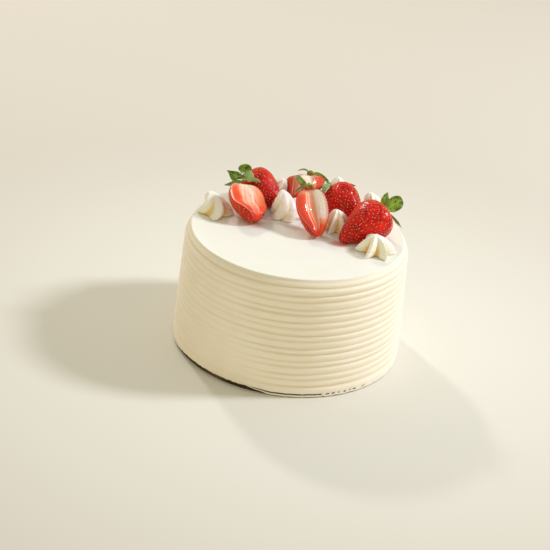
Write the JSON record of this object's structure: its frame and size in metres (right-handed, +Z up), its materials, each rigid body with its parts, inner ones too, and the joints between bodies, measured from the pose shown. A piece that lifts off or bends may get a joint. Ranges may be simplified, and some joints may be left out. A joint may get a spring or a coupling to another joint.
{
  "type": "strawberry cake",
  "caption": "Round cream cake with combed sides and a flat top, finished along the back with piped rosettes, whole and halved strawberries and their leaves.",
  "frame": {"origin": "middle of the cake's underside, on the surface it stands on", "axes": "+Z up; -Y is the open front of the top, +Y the side where the toppings sit, +X to the right seen from the front"},
  "size_m": [0.174, 0.174, 0.1258],
  "materials": {
    "cream": "soft satin cream icing",
    "rosette_cream": "soft satin piped cream",
    "sponge": "matt dark crumb",
    "berry_skin": "glossy dimpled strawberry skin",
    "berry_flesh": "moist cut strawberry, red skin behind",
    "leaf": "satin green leaf"
  },
  "bodies": {
    "root": {"iced_cake": "cream", "sponge_foot": "sponge", "rosette_left": "rosette_cream", "rosette_inner_left": "rosette_cream", "rosette_inner_right": "rosette_cream", "rosette_front_right": "rosette_cream", "rosette_right": "rosette_cream", "rosette_back_right": "rosette_cream", "rosette_back_middle": "rosette_cream", "rosette_under_half": "rosette_cream", "rosette_back": "rosette_cream", "rosette_back_left": "rosette_cream", "berry_back_left": "berry_skin", "berry_back_right": "berry_skin", "berry_front_right": "berry_skin", "half_berry_front_left": "berry_flesh", "half_berry_front": "berry_flesh", "half_berry_back_left": "berry_flesh", "half_berry_back_right": "berry_flesh", "leaves_back_left": "leaf", "leaves_front_left": "leaf", "leaves_back_right": "leaf", "leaves_front_right": "leaf", "leaves_back_middle": "leaf", "leaves_front": "leaf"}
  },
  "joints": []
}
